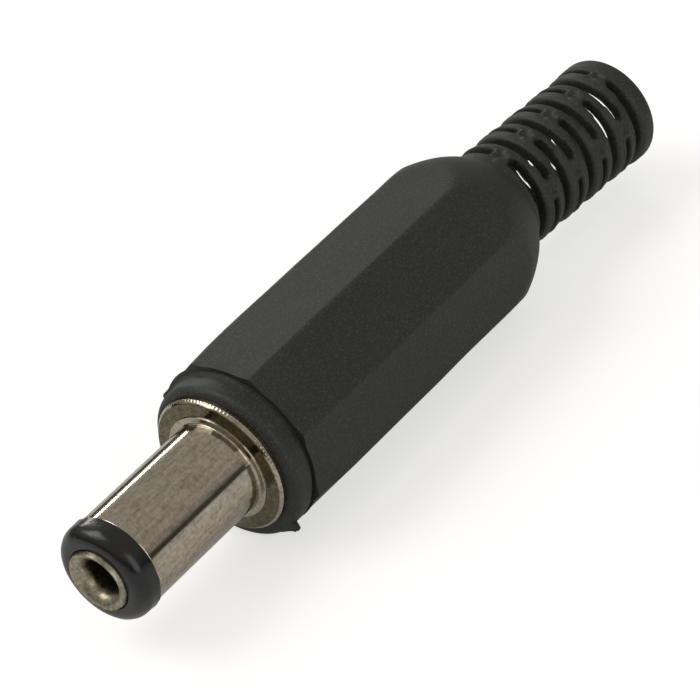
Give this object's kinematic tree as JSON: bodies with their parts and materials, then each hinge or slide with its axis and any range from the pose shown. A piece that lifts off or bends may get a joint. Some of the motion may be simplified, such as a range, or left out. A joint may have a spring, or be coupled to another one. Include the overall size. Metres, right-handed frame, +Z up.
{
  "type": "dc barrel plug",
  "caption": "Solderable coaxial power plug: plated barrel with a flared centre contact, two solder tags, and a screw-on octagonal handle with a slotted strain relief.",
  "frame": {"origin": "on the plug's axis, at the root of the barrel where it meets the shoulder of the body", "axes": "+Y along the axis from the tip to the strain relief, +Z up, with a flat of the handle underneath"},
  "size_m": [0.0098, 0.0467, 0.0098],
  "materials": {
    "handle_plastic": "black moulded plastic with a fine spark-eroded grain",
    "nickel_plate": "nickel-plated brass, satin and faintly mottled",
    "tip_plastic": "black, smooth and glossy",
    "tin_plate": "bright tin-plated brass",
    "washer_plastic": "dark moulded phenolic, dull",
    "tag_plate": "tin-plated brass strip with faint rolling lines"
  },
  "bodies": {
    "handle": {"handle": "handle_plastic"},
    "plug": {"barrel": "nickel_plate", "tip_insulator": "tip_plastic", "centre_contact": "tin_plate", "rear_insulator": "washer_plastic", "centre_terminal": "tag_plate", "ground_terminal": "tag_plate"}
  },
  "joints": [
    {"name": "handle_unscrew", "type": "slide", "parent": "plug", "child": "handle", "axis": [0, 1, 0], "range_m": [0, 0.021]}
  ]
}
